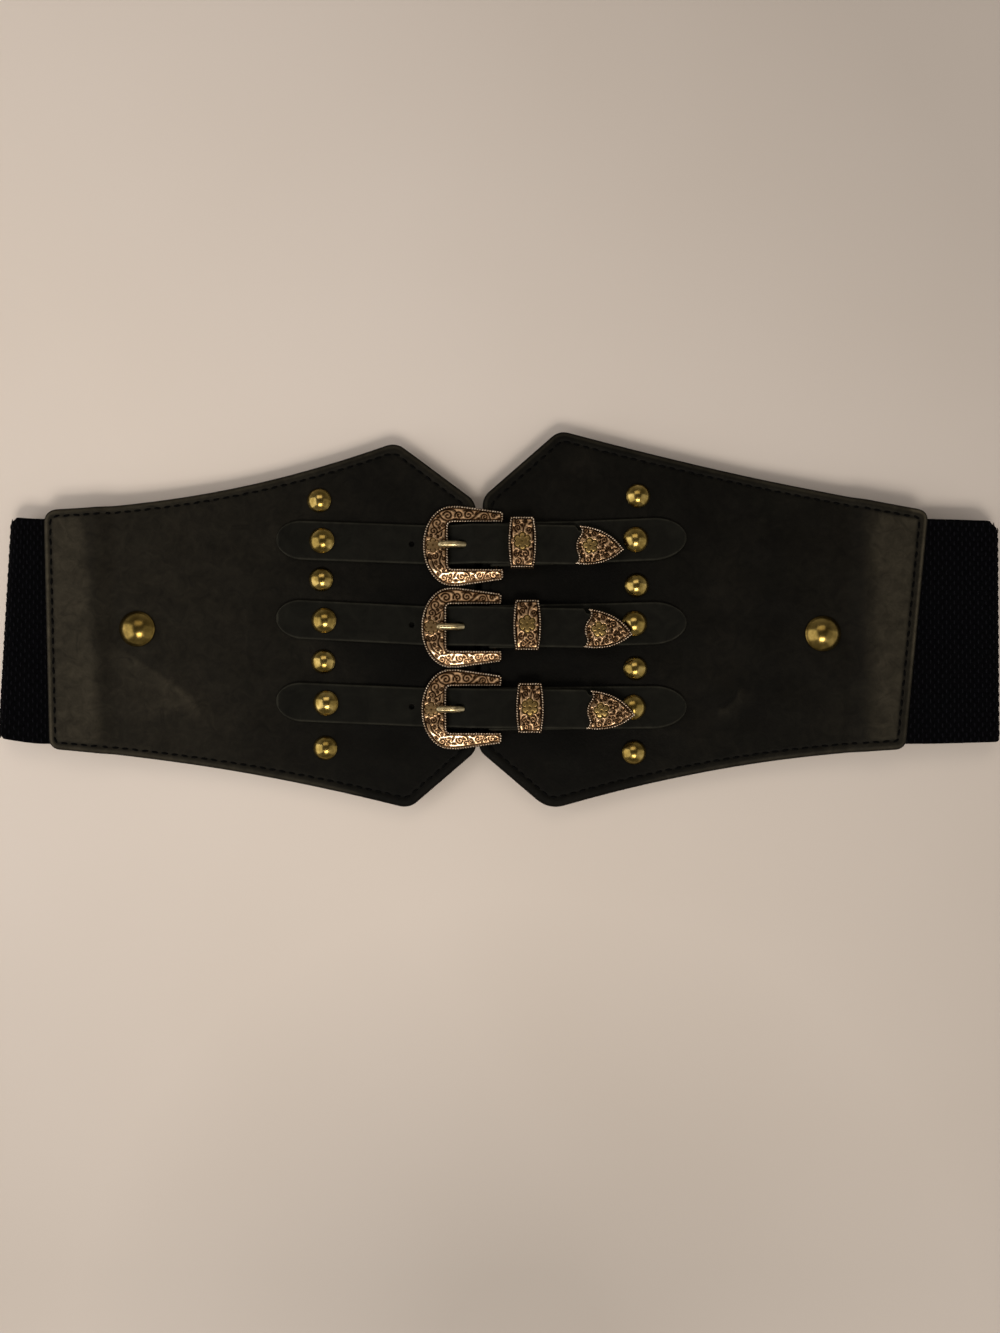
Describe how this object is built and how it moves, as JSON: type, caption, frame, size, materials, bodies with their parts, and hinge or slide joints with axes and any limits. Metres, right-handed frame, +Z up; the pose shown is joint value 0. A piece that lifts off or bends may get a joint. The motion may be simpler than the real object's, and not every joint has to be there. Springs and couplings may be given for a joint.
{
  "type": "corset belt",
  "caption": "Wide closed corset belt: flared leather front panels joined by buckled straps, with dome studs and an elastic back band.",
  "frame": {"origin": "middle of the elastic back's flat underside, on the surface that the belt lies on", "axes": "+X along the belt from the left panel to the right one as seen from above, +Y across the belt towards the upper edge, +Z up through the front panels"},
  "size_m": [0.3686, 0.1373, 0.0168],
  "materials": {
    "elastic": "matt woven elastic webbing, near black",
    "face_leather": "distressed charcoal leather with a low sheen",
    "backing_leather": "plain matt dark leather",
    "strap_leather": "smooth dark grey leather, satin",
    "engraved_metal": "antique rose-gold plating, dark in its recesses",
    "prong_metal": "satin antique gold",
    "stud_brass": "polished antique brass"
  },
  "bodies": {
    "root": {"elastic_band": "elastic", "face_left": "face_leather", "backing_left": "backing_leather", "stud_left_1": "stud_brass", "stud_left_2": "stud_brass", "stud_left_3": "stud_brass", "stud_left_4": "stud_brass", "rivet_left_top": "stud_brass", "rivet_left_middle": "stud_brass", "rivet_left_bottom": "stud_brass", "large_stud_left": "stud_brass", "face_right": "face_leather", "backing_right": "backing_leather", "stud_right_1": "stud_brass", "stud_right_2": "stud_brass", "stud_right_3": "stud_brass", "stud_right_4": "stud_brass", "rivet_right_top": "stud_brass", "rivet_right_middle": "stud_brass", "rivet_right_bottom": "stud_brass", "large_stud_right": "stud_brass", "short_strap_top": "strap_leather", "long_strap_top": "strap_leather", "buckle_frame_top": "engraved_metal", "prong_top": "prong_metal", "keeper_top": "engraved_metal", "strap_tip_top": "engraved_metal", "short_strap_middle": "strap_leather", "long_strap_middle": "strap_leather", "buckle_frame_middle": "engraved_metal", "prong_middle": "prong_metal", "keeper_middle": "engraved_metal", "strap_tip_middle": "engraved_metal", "short_strap_bottom": "strap_leather", "long_strap_bottom": "strap_leather", "buckle_frame_bottom": "engraved_metal", "prong_bottom": "prong_metal", "keeper_bottom": "engraved_metal", "strap_tip_bottom": "engraved_metal"}
  },
  "joints": []
}
